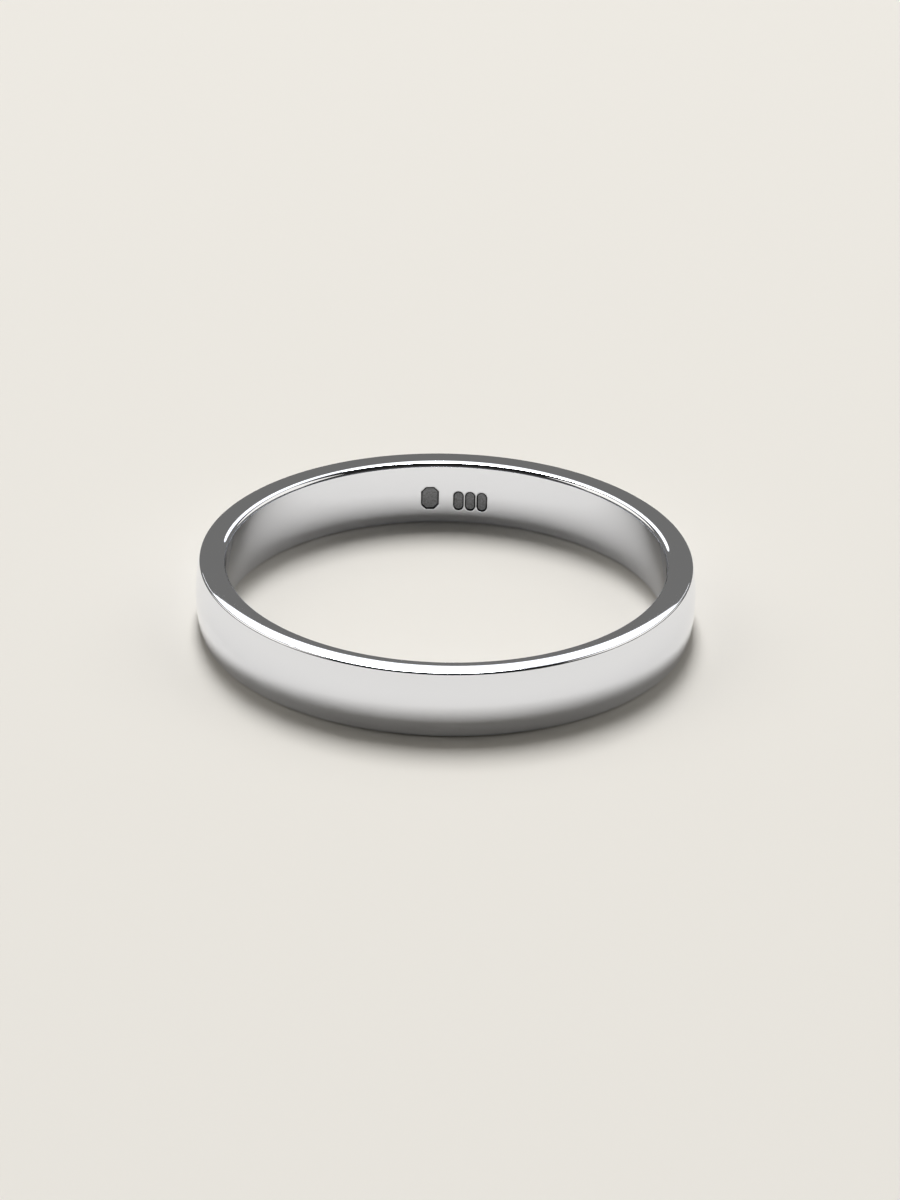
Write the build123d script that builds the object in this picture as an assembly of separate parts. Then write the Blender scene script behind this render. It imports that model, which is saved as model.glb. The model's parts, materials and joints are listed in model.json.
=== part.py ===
"""Wedding band: a polished white-gold ring with a lightly domed outer wall.

Millimetres. The finger axis is +Z, the ring rests on its lower side face at Z = 0, and the
punches struck inside the band face the +Y side. The band is one piece of metal, so it is one
solid: a turned section swept once round the axis, with shallow punches in its inner wall.
"""
import os
from math import cos, pi, radians, sin, sqrt

from build123d import *

# Driving dimensions
INNER_CIRCUMFERENCE = 60.0    # ISO 8653 ring size 60
BAND_WIDTH = 3.0              # along the finger
WALL = 1.30                   # radial thickness at mid-width
DOME_RISE = 0.160             # how far the outer wall bulges between its two edges
OUTER_CORNER_RADIUS = 0.10
INNER_CORNER_RADIUS = 0.20

# Side faces: a narrow flat land that falls away to both sides in a gentle arc
LAND_WIDTH = 0.16
LAND_FROM_BORE = 0.38         # bore to the middle of the land
INNER_SLOPE_RADIUS = 0.82
INNER_SLOPE_TILT = radians(1.5)     # where it leaves the land
OUTER_SLOPE_RADIUS = 20.0           # leaves the land without a tilt

# Punches in the inner wall, side by side a little below mid-width
PUNCH_DEPTH = 0.06
CARTOUCHE_WIDTH = 0.75
CARTOUCHE_HEIGHT = 1.03
CARTOUCHE_CLIP = 0.20         # cut off each corner of the cartouche
CARTOUCHE_PLACE = (-0.80, 1.27)     # along X from the middle of the band, and height
STAMP_WIDTH = 0.43
STAMP_HEIGHT = 0.88
STAMP_PITCH = 0.53
STAMP_COUNT = 3
STAMP_PLACE = (1.02, 1.15)          # of the middle stamp

# Worked out from the above
BORE_RADIUS = INNER_CIRCUMFERENCE / (2 * pi)
OUTER_RADIUS = BORE_RADIUS + WALL
EDGE_RADIUS = OUTER_RADIUS - DOME_RISE
MID_HEIGHT = BAND_WIDTH / 2
LAND_INSIDE = BORE_RADIUS + LAND_FROM_BORE - LAND_WIDTH / 2
LAND_OUTSIDE = LAND_INSIDE + LAND_WIDTH


def inner_slope(radius):
    """Point of the upper side face between the bore and the land, at this radius."""
    centre = LAND_INSIDE + INNER_SLOPE_RADIUS * sin(INNER_SLOPE_TILT)
    base = BAND_WIDTH - INNER_SLOPE_RADIUS * cos(INNER_SLOPE_TILT)
    return radius, base + sqrt(INNER_SLOPE_RADIUS**2 - (centre - radius) ** 2)


def outer_slope(radius):
    """Point of the upper side face between the land and the outer wall, at this radius."""
    base = BAND_WIDTH - OUTER_SLOPE_RADIUS
    return radius, base + sqrt(OUTER_SLOPE_RADIUS**2 - (radius - LAND_OUTSIDE) ** 2)


def slope_arc(slope, start, end, place):
    """Arc of a side face between two radii, each point put where place says."""
    ThreePointArc(*(place(slope(radius)) for radius in (start, (start + end) / 2, end)))


def above(point):
    """A point of the upper side face, as it is."""
    return point


def below(point):
    """The same point on the lower side face."""
    return point[0], BAND_WIDTH - point[1]


def band_section():
    """Closed section of the band in the XZ plane, corners rounded."""
    bore_corner = inner_slope(BORE_RADIUS)
    edge_corner = outer_slope(EDGE_RADIUS)
    with BuildSketch(Plane.XZ) as section:
        with BuildLine():
            for place in (above, below):
                slope_arc(inner_slope, BORE_RADIUS, LAND_INSIDE, place)
                Line(place((LAND_INSIDE, BAND_WIDTH)), place((LAND_OUTSIDE, BAND_WIDTH)))
                slope_arc(outer_slope, LAND_OUTSIDE, EDGE_RADIUS, place)
            Line(below(bore_corner), bore_corner)
            ThreePointArc(edge_corner, (OUTER_RADIUS, MID_HEIGHT), below(edge_corner))
        make_face()
        fillet(section.vertices().group_by(Axis.X)[-1], OUTER_CORNER_RADIUS)
        fillet(section.vertices().group_by(Axis.X)[0], INNER_CORNER_RADIUS)
    return section.sketch


def punch_outlines():
    """Flat outlines of the punches, drawn in the XZ plane: an octagon and a row of ovals."""
    with BuildSketch(Plane.XZ) as outlines:
        with Locations(CARTOUCHE_PLACE):
            Rectangle(CARTOUCHE_WIDTH, CARTOUCHE_HEIGHT)
        chamfer(outlines.vertices(), CARTOUCHE_CLIP)
        for index in range(STAMP_COUNT):
            shift = (index - (STAMP_COUNT - 1) / 2) * STAMP_PITCH
            with Locations((STAMP_PLACE[0] + shift, STAMP_PLACE[1])):
                SlotOverall(STAMP_HEIGHT, STAMP_WIDTH, rotation=90)
    return outlines.sketch


def band():
    """The whole ring: the section revolved, less the punches on the +Y side of the bore."""
    ring = revolve(band_section(), Axis.Z)
    reach = extrude(punch_outlines(), amount=OUTER_RADIUS, dir=(0, 1, 0))
    floor = Cylinder(BORE_RADIUS + PUNCH_DEPTH, BAND_WIDTH, align=(Align.CENTER, Align.CENTER, Align.MIN))
    return ring - (reach & floor)


os.makedirs("parts", exist_ok=True)
export_step(band(), "parts/band.step")
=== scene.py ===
"""Looks of the wedding band: the polished ring, its struck punches, floor, lights and camera.

Metres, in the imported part's frame: finger axis +Z, punches inside the band on the +Y side.
"""
import json
from math import atan2, cos, hypot, pi, radians, sin, sqrt, tan

import bpy
import numpy as np
from mathutils import Matrix, Vector


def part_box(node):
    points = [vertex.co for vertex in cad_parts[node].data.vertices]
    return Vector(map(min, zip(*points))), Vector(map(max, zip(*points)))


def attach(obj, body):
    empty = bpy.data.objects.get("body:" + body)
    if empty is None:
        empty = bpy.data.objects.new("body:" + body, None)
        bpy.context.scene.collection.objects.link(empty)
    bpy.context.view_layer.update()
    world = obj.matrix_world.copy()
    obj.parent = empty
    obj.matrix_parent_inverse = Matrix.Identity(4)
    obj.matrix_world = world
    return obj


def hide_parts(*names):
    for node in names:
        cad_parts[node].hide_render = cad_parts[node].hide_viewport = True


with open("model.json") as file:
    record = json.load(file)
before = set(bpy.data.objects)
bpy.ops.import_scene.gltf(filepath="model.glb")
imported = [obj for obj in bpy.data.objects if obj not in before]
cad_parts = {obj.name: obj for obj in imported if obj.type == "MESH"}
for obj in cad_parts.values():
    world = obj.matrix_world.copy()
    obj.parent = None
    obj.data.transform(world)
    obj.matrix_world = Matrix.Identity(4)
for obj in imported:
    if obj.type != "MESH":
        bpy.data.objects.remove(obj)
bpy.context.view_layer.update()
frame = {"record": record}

MM = 0.001
LOW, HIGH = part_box("band")
MOUNTS = {mount["name"]: mount for mount in frame["record"]["mounts"]}

# Section of the band, as in the CAD part
BAND_WIDTH = HIGH.z - LOW.z
BORE_RADIUS = MOUNTS["finger_bore"]["dims"]["r_mm"] * MM
WALL = 1.30 * MM
OUTER_RADIUS = BORE_RADIUS + WALL
DOME_RISE = 0.160 * MM
OUTER_CORNER_RADIUS = 0.10 * MM
INNER_CORNER_RADIUS = 0.20 * MM
LAND_WIDTH = 0.16 * MM
LAND_RADIUS = MOUNTS["upper_land"]["pos_m"][0]
LAND_INSIDE = LAND_RADIUS - LAND_WIDTH / 2
LAND_OUTSIDE = LAND_RADIUS + LAND_WIDTH / 2
INNER_SLOPE_RADIUS = 0.82 * MM
INNER_SLOPE_TILT = radians(1.5)
OUTER_SLOPE_RADIUS = 20.0 * MM

# Punches in the bore, as in the CAD part: places are along the bore from its +Y middle, and up
PUNCH_DEPTH = 0.06 * MM
PUNCH_WALL = 0.07 * MM          # width of a punch's sloping edge, which is upright in the CAD part
CARTOUCHE_PLACE = (-0.80 * MM, 1.27 * MM)
CARTOUCHE = (0.75 * MM, 1.03 * MM, 0.20 * MM)   # width, height, clipped corner
STAMP_PLACES = [((1.02 + 0.53 * step) * MM, 1.15 * MM) for step in (-1, 0, 1)]
STAMP = (0.43 * MM, 0.88 * MM)                  # width, height
NEAR_PUNCH = 2 * PUNCH_WALL     # how far round a punch the mesh's own normals are kept

# How finely the ring is divided: closely past the punches, coarsely elsewhere
PUNCHED_ALONG = (-1.30 * MM, 1.90 * MM)
PUNCHED_UP = (0.64 * MM, 1.88 * MM)
PUNCHED_COLUMNS = 118
PLAIN_COLUMNS = 588
PUNCHED_ROWS = 43
PLAIN_ROWS = 3                  # below the punched rows, and as many above them
BORE_ROWS = PUNCHED_ROWS + 2 * PLAIN_ROWS
INNER_CORNER_STEPS = 12
INNER_SLOPE_STEPS = 5
OUTER_SLOPE_STEPS = 7
OUTER_CORNER_STEPS = 10
DOME_STEPS = 9                  # from its edge to mid-width
CREASE = 0.001 * MM             # between the inner slope and the land, which meet in the CAD part

# Metal: bump depths are in metres, and a noise is its scale, its detail and its stretch
POLISHED = (0.885, 0.906, 0.963)
POLISH_ROUGHNESS = (0.010, 0.024)
# Painted shade in the punches: their floors are dark grey with random stipple tone, and their sloping
# rims are near black
PUNCH_SHADE_DARK = (0.07, 0.07, 0.075)
PUNCH_SHADE_LIGHT = (0.36, 0.37, 0.39)
PUNCH_RIM_SHADE = (0.03, 0.03, 0.033)
SUNK_ROUGHNESS = 0.34
RIM_SHADE_SHARES = (0.0, 0.25)        # shares of full depth between which the polish turns to the rim's painted shade
FLOOR_SHADE_SHARES = (0.90, 1.0)      # and between which the rim's painted shade turns to the stippled floor's painted shade
GRAIN = (14000, 3, (1, 1, 1))
SMEAR = (260, 4, (1, 1, 1))
HAIRLINES = (2600, 5, (1, 1, 22))
STIPPLE_DEPTH = 14e-6
WAVE_DEPTH = 0.4e-6
HAIRLINE_DEPTH = 0.012e-6

# Floor
FLOOR_COLOUR = (0.80, 0.779, 0.738)
FLOOR_RADIUS = 3.0
FLOOR_SIDES = 96

# Room: grey behind the ring from the horizon up to BAND_TOP, darker above that and in front. Its
# colours and the side lights are warm, to look neutral in the metal.
BAND_TOP = 30.5                 # degrees above the horizon
BAND_BLUR = 1.0                 # degrees to each side of BAND_TOP
BEHIND = 0.25                   # Y of the directions from which the room has its full brightness
ROOM_LOW = (0.169, 0.165, 0.155)
ROOM_HIGH = (0.041, 0.040, 0.038)
SHARE_BEHIND = (1.0, 1.0, 1.0)
SHARE_IN_FRONT = (0.35, 0.35, 0.35)

# Lights, all equally far away: name, azimuth from +Y towards +X, elevation, width and height, all
# four in degrees, then radiance and colour
LIGHT_DISTANCE = 2.5
WHITE = (1.0, 1.0, 1.0)
WARM = (1.0, 0.965, 0.89)
LIGHTS = (
    ("key", -4, 58.5, 15, 30, 20.1, WHITE),
    ("panel", 0, 36.6, 28, 17, 1.35, WHITE),
    ("left_wall", -74, 40, 54, 35, 1.06, WARM),
    ("right_wall", 70, 40, 54, 35, 0.96, WARM),
)

# Camera
CAMERA_ELEVATION = radians(26.83)
CAMERA_DISTANCE = 18.97 * OUTER_RADIUS
CAMERA_ROLL = radians(1.20)
AIM_RIGHT = 0.0170 * OUTER_RADIUS
AIM_DOWN = 0.0447 * OUTER_RADIUS
LENS_MM = 142.17
SENSOR_MM = 36
CLIP_START = 0.01
CLIP_END = 10


def arc(centre, radius, start, end, steps):
    """Points and outward normals along an arc, angles measured from +R towards +Z."""
    points = []
    for step in range(steps + 1):
        angle = start + (end - start) * step / steps
        normal = (cos(angle), sin(angle))
        points.append((centre[0] + radius * normal[0], centre[1] + radius * normal[1], *normal))
    return points


def direction(start, end):
    """Angle of the line from one point to another."""
    return atan2(end[1] - start[1], end[0] - start[0])


def inner_arcs():
    """Centres of the inner slope and of the corner round between it and the bore."""
    slope = (LAND_INSIDE + INNER_SLOPE_RADIUS * sin(INNER_SLOPE_TILT),
             BAND_WIDTH - INNER_SLOPE_RADIUS * cos(INNER_SLOPE_TILT))
    across = slope[0] - BORE_RADIUS - INNER_CORNER_RADIUS
    rise = sqrt((INNER_SLOPE_RADIUS - INNER_CORNER_RADIUS) ** 2 - across**2)
    return slope, (BORE_RADIUS + INNER_CORNER_RADIUS, slope[1] + rise)


def outer_arcs():
    """Centres of the outer slope and of the dome, the dome's radius, and the corner round's centre.

    The corner round touches the slope and the dome from inside. So its centre is where two smaller
    circles about their centres meet, and of the two meetings the one further out.
    """
    slope = (LAND_OUTSIDE, BAND_WIDTH - OUTER_SLOPE_RADIUS)
    edge = OUTER_RADIUS - DOME_RISE
    chord = slope[1] + sqrt(OUTER_SLOPE_RADIUS**2 - (edge - slope[0]) ** 2) - BAND_WIDTH / 2
    dome_radius = (chord**2 + DOME_RISE**2) / (2 * DOME_RISE)
    dome = (OUTER_RADIUS - dome_radius, BAND_WIDTH / 2)
    near = OUTER_SLOPE_RADIUS - OUTER_CORNER_RADIUS
    far = dome_radius - OUTER_CORNER_RADIUS
    gap = hypot(dome[0] - slope[0], dome[1] - slope[1])
    along = (near**2 - far**2 + gap**2) / (2 * gap)
    aside = sqrt(near**2 - along**2)
    ux, uz = (dome[0] - slope[0]) / gap, (dome[1] - slope[1]) / gap
    meetings = [(slope[0] + along * ux - side * aside * uz, slope[1] + along * uz + side * aside * ux)
                for side in (-1, 1)]
    return slope, dome, dome_radius, max(meetings)


def upper_half():
    """Points (radius, height, normal) from the top of the bore over the side face to mid-dome."""
    slope, corner = inner_arcs()
    lean = direction(slope, corner)
    points = arc(corner, INNER_CORNER_RADIUS, pi, lean, INNER_CORNER_STEPS)
    points += arc(slope, INNER_SLOPE_RADIUS, lean, pi / 2 + INNER_SLOPE_TILT, INNER_SLOPE_STEPS)[1:]
    points += [(LAND_INSIDE + CREASE, BAND_WIDTH, 0.0, 1.0)]
    slope, dome, dome_radius, corner = outer_arcs()
    lean = direction(slope, corner)
    points += arc(slope, OUTER_SLOPE_RADIUS, pi / 2, lean, OUTER_SLOPE_STEPS)
    edge = direction(dome, corner)
    points += arc(corner, OUTER_CORNER_RADIUS, lean, edge, OUTER_CORNER_STEPS)[1:]
    points += arc(dome, dome_radius, edge, 0, DOME_STEPS)[1:]
    return points


def bore_rows(top):
    """Points up the bore between its two corners, close together where the punches are."""
    punched = np.linspace(*PUNCHED_UP, PUNCHED_ROWS)
    below = np.linspace(BAND_WIDTH - top, punched[0], PLAIN_ROWS + 2)[1:-1]
    above = np.linspace(punched[-1], top, PLAIN_ROWS + 2)[1:-1]
    return [(BORE_RADIUS, z, -1.0, 0.0) for z in (*below, *punched, *above)]


def section():
    """Closed loop round the section: bore upwards, upper side face, dome, lower side face."""
    upper = upper_half()
    lower = [(r, BAND_WIDTH - z, nr, -nz) for r, z, nr, nz in reversed(upper[:-1])]
    return np.array(bore_rows(upper[0][1]) + upper + lower)


def angles():
    """Angles round the ring from +X, close together across the punches on the +Y side."""
    first = pi / 2 - PUNCHED_ALONG[1] / BORE_RADIUS
    last = pi / 2 - PUNCHED_ALONG[0] / BORE_RADIUS
    punched = np.linspace(first, last, PUNCHED_COLUMNS)
    plain = np.linspace(last, first + 2 * pi, PLAIN_COLUMNS + 2)[1:-1]
    return np.concatenate([punched, plain])


def octagon_depth(x, z, width, height, clip):
    """Distance inside a rectangle with clipped corners, negative outside."""
    side = np.minimum(width / 2 - np.abs(x), height / 2 - np.abs(z))
    corner = (width / 2 + height / 2 - clip - np.abs(x) - np.abs(z)) / sqrt(2)
    return np.minimum(side, corner)


def oval_depth(x, z, width, height):
    """Distance inside an upright slot with round ends, negative outside."""
    past = np.maximum(np.abs(z) - (height - width) / 2, 0)
    return width / 2 - np.hypot(x, past)


def punch_depth(x, z):
    """How far each point of the bore is struck in, and its distance inside the nearest outline."""
    inside = octagon_depth(x - CARTOUCHE_PLACE[0], z - CARTOUCHE_PLACE[1], *CARTOUCHE)
    for place in STAMP_PLACES:
        inside = np.maximum(inside, oval_depth(x - place[0], z - place[1], *STAMP))
    share = np.clip(inside / PUNCH_WALL + 0.5, 0, 1)
    return PUNCH_DEPTH * share * share * (3 - 2 * share), inside


def strikes(rows, theta):
    """For each angle and row: how far it is struck in, and whether it is near a punch."""
    in_bore = np.arange(len(rows)) < BORE_ROWS
    along = BORE_RADIUS * (pi / 2 - theta)
    depth, inside = punch_depth(along[:, None], rows[:, 1])
    return np.where(in_bore, depth, 0), in_bore & (inside > -NEAR_PUNCH)


def turned(away, up, theta):
    """Vectors in space, turned to each angle, from their parts away from the axis and along it."""
    x = away * np.cos(theta)[:, None]
    y = away * np.sin(theta)[:, None]
    return np.stack(np.broadcast_arrays(x, y, up), -1).reshape(-1, 3)


def closed_grid(turns, count):
    """Faces between neighbouring points, closed both round the ring and round its section."""
    here = np.arange(turns * count).reshape(turns, count)
    after = np.roll(here, -1, 0)
    return np.stack([here, np.roll(here, -1, 1), np.roll(after, -1, 1), after], -1).reshape(-1, 4)


def make_band():
    """The ring as one closed mesh, with exact normals except near its punches."""
    rows = section()
    theta = angles()
    depth, near_punch = strikes(rows, theta)
    vertices = turned(rows[:, 0] + depth, rows[:, 1], theta)
    mesh = bpy.data.meshes.new("band_polished")
    mesh.from_pydata(vertices.tolist(), [], closed_grid(len(theta), len(rows)).tolist())
    mesh.update()
    mesh.shade_smooth()
    mesh_normals = np.empty(vertices.size)
    mesh.vertex_normals.foreach_get("vector", mesh_normals)
    exact_normals = turned(rows[:, 2], rows[:, 3], theta)
    normals = np.where(near_punch.reshape(-1, 1), mesh_normals.reshape(-1, 3), exact_normals)
    # share of full punch depth; the material paints shade into the punches by it
    struck = mesh.attributes.new("struck", "FLOAT", "POINT")
    struck.data.foreach_set("value", (depth / PUNCH_DEPTH).reshape(-1).astype(np.float32))
    mesh.normals_split_custom_set_from_vertices(normals.tolist())
    band = bpy.data.objects.new("band_polished", mesh)
    bpy.context.scene.collection.objects.link(band)
    return band


def new_material(name):
    """A node material, its node tree and its Principled shader."""
    material = bpy.data.materials.new(name)
    material.use_nodes = True
    return material, material.node_tree, material.node_tree.nodes["Principled BSDF"]


def feed(tree, value, socket):
    """Give a socket a number, a colour or another node's output."""
    if isinstance(value, bpy.types.NodeSocket):
        tree.links.new(value, socket)
    elif isinstance(value, tuple):
        socket.default_value = (*value, 1)
    else:
        socket.default_value = value


def noise(tree, scale, detail, stretch):
    """Noise in the part's own metres, stretched along chosen axes."""
    place = tree.nodes.new("ShaderNodeTexCoord")
    mapping = tree.nodes.new("ShaderNodeMapping")
    mapping.inputs["Scale"].default_value = stretch
    texture = tree.nodes.new("ShaderNodeTexNoise")
    texture.inputs["Scale"].default_value = scale
    texture.inputs["Detail"].default_value = detail
    tree.links.new(place.outputs["Object"], mapping.inputs["Vector"])
    tree.links.new(mapping.outputs["Vector"], texture.inputs["Vector"])
    return texture.outputs["Fac"]


def rising(tree, value, start, end):
    """Number that goes from 0 to 1 as value goes from start to end."""
    node = tree.nodes.new("ShaderNodeMapRange")
    node.inputs["From Min"].default_value = start
    node.inputs["From Max"].default_value = end
    tree.links.new(value, node.inputs["Value"])
    return node.outputs["Result"]


def blend(tree, share, first, second):
    """Number that goes from first to second with share."""
    node = tree.nodes.new("ShaderNodeMix")
    feed(tree, share, node.inputs["Factor"])
    feed(tree, first, node.inputs["A"])
    feed(tree, second, node.inputs["B"])
    return node.outputs["Result"]


def tint(tree, share, first, second, blend_type="MIX"):
    """Colour that goes from first to second with share, or to their product.

    A mix node's colour sockets have the names of its other sockets, so they are taken by number.
    """
    node = tree.nodes.new("ShaderNodeMix")
    node.data_type = "RGBA"
    node.blend_type = blend_type
    first_colour, second_colour = node.inputs[6], node.inputs[7]
    result_colour = node.outputs[2]
    feed(tree, share, node.inputs["Factor"])
    feed(tree, first, first_colour)
    feed(tree, second, second_colour)
    return result_colour


def product(tree, first, second):
    """Product of two numbers."""
    node = tree.nodes.new("ShaderNodeMath")
    node.operation = "MULTIPLY"
    tree.links.new(first, node.inputs[0])
    tree.links.new(second, node.inputs[1])
    return node.outputs[0]


def bump(tree, height, distance, under=None):
    """Bump of this depth in metres, laid over another one if given."""
    node = tree.nodes.new("ShaderNodeBump")
    node.inputs["Strength"].default_value = 1.0
    node.inputs["Distance"].default_value = distance
    tree.links.new(height, node.inputs["Height"])
    if under is not None:
        tree.links.new(under, node.inputs["Normal"])
    return node.outputs["Normal"]


def white_gold():
    """Rhodium-plated white gold, mirror polished, with dull stippled punch floors, and painted shade
    in the punches' floors and rims.
    """
    material, tree, shader = new_material("white_gold")
    mark = tree.nodes.new("ShaderNodeAttribute")
    mark.attribute_name = "struck"
    struck = mark.outputs["Fac"]
    grain = noise(tree, *GRAIN)
    smear = noise(tree, *SMEAR)
    hairlines = noise(tree, *HAIRLINES)
    # painted shade: the punch floors turn dark grey with random stipple tone, and the punch rims near
    # black
    stippled = tint(tree, grain, PUNCH_SHADE_DARK, PUNCH_SHADE_LIGHT)
    punch_shade = tint(tree, rising(tree, struck, *FLOOR_SHADE_SHARES), PUNCH_RIM_SHADE, stippled)
    colour = tint(tree, rising(tree, struck, *RIM_SHADE_SHARES), POLISHED, punch_shade)
    polish = blend(tree, smear, *POLISH_ROUGHNESS)
    roughness = blend(tree, struck, polish, SUNK_ROUGHNESS)
    waves = bump(tree, smear, WAVE_DEPTH)
    scratches = bump(tree, hairlines, HAIRLINE_DEPTH, waves)
    stipple = bump(tree, product(tree, grain, struck), STIPPLE_DEPTH, scratches)
    shader.inputs["Metallic"].default_value = 1.0
    tree.links.new(colour, shader.inputs["Base Color"])
    tree.links.new(roughness, shader.inputs["Roughness"])
    tree.links.new(stipple, shader.inputs["Normal"])
    return material


def pale_floor():
    """Plain warm off-white sheet."""
    material, _, shader = new_material("pale_floor")
    shader.inputs["Base Color"].default_value = (*FLOOR_COLOUR, 1)
    shader.inputs["Roughness"].default_value = 1.0
    shader.inputs["Specular IOR Level"].default_value = 0.0
    return material


def make_floor():
    """A wide round floor at the ring's foot."""
    bpy.ops.mesh.primitive_circle_add(vertices=FLOOR_SIDES, radius=FLOOR_RADIUS, fill_type="NGON")
    floor = bpy.context.object
    floor.name = "floor"
    floor.data.materials.append(pale_floor())


def softbox(name, azimuth, elevation, width, height, radiance, colour):
    """A rectangular light facing the ring, hidden from the camera; its angles are in degrees."""
    azimuth, elevation = radians(azimuth), radians(elevation)
    out = Vector((sin(azimuth) * cos(elevation), cos(azimuth) * cos(elevation), sin(elevation)))
    light = bpy.data.lights.new(name, "AREA")
    light.shape = "RECTANGLE"
    light.size = 2 * LIGHT_DISTANCE * tan(radians(width) / 2)
    light.size_y = 2 * LIGHT_DISTANCE * tan(radians(height) / 2)
    light.energy = radiance * pi * light.size * light.size_y
    light.color = colour
    lamp = bpy.data.objects.new(name, light)
    lamp.location = out * LIGHT_DISTANCE
    lamp.rotation_euler = out.to_track_quat("Z", "Y").to_euler()
    lamp.visible_camera = False
    bpy.context.scene.collection.objects.link(lamp)


def sky_ramp(tree, value, start, end, first, last):
    """Smooth change of colour as one component of the direction goes from start to end."""
    node = tree.nodes.new("ShaderNodeValToRGB")
    node.color_ramp.interpolation = "EASE"
    low, high = node.color_ramp.elements
    low.position, high.position = start, end
    low.color, high.color = (*first, 1), (*last, 1)
    tree.links.new(value, node.inputs["Fac"])
    return node.outputs["Color"]


def make_world():
    """The dim room that the ring reflects."""
    world = bpy.data.worlds.new("studio")
    bpy.context.scene.world = world
    world.use_nodes = True
    tree = world.node_tree
    where = tree.nodes.new("ShaderNodeTexCoord")
    split = tree.nodes.new("ShaderNodeSeparateXYZ")
    tree.links.new(where.outputs["Generated"], split.inputs["Vector"])
    grey_end = sin(radians(BAND_TOP - BAND_BLUR))
    dark_start = sin(radians(BAND_TOP + BAND_BLUR))
    by_height = sky_ramp(tree, split.outputs["Z"], grey_end, dark_start, ROOM_LOW, ROOM_HIGH)
    by_depth = sky_ramp(tree, split.outputs["Y"], 0.0, BEHIND, SHARE_IN_FRONT, SHARE_BEHIND)
    room = tint(tree, 1.0, by_height, by_depth, "MULTIPLY")
    tree.links.new(room, tree.nodes["Background"].inputs["Color"])


def make_camera():
    """The camera in front, looking down on the ring."""
    middle = Vector((0, 0, BAND_WIDTH / 2))
    back = Vector((0, -cos(CAMERA_ELEVATION), sin(CAMERA_ELEVATION)))
    across = Vector((1, 0, 0))
    upward = across.cross(-back)
    place = middle + back * CAMERA_DISTANCE
    rolled_across = across * cos(CAMERA_ROLL) + upward * sin(CAMERA_ROLL)
    rolled_upward = upward * cos(CAMERA_ROLL) - across * sin(CAMERA_ROLL)
    aim = middle + rolled_across * AIM_RIGHT - rolled_upward * AIM_DOWN
    away = (place - aim).normalized()
    side = rolled_upward.cross(away).normalized()
    data = bpy.data.cameras.new("camera")
    data.lens = LENS_MM
    data.sensor_width = SENSOR_MM
    data.clip_start = CLIP_START
    data.clip_end = CLIP_END
    camera = bpy.data.objects.new("camera", data)
    bpy.context.scene.collection.objects.link(camera)
    turn = Matrix((side, away.cross(side), away)).transposed()
    camera.matrix_world = Matrix.Translation(place) @ turn.to_4x4()
    bpy.context.scene.camera = camera


bpy.context.scene.view_settings.view_transform = "Standard"
make_camera()
make_world()
for light in LIGHTS:
    softbox(*light)
make_floor()

band = make_band()
band.data.materials.append(white_gold())
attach(band, "root")
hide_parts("band")
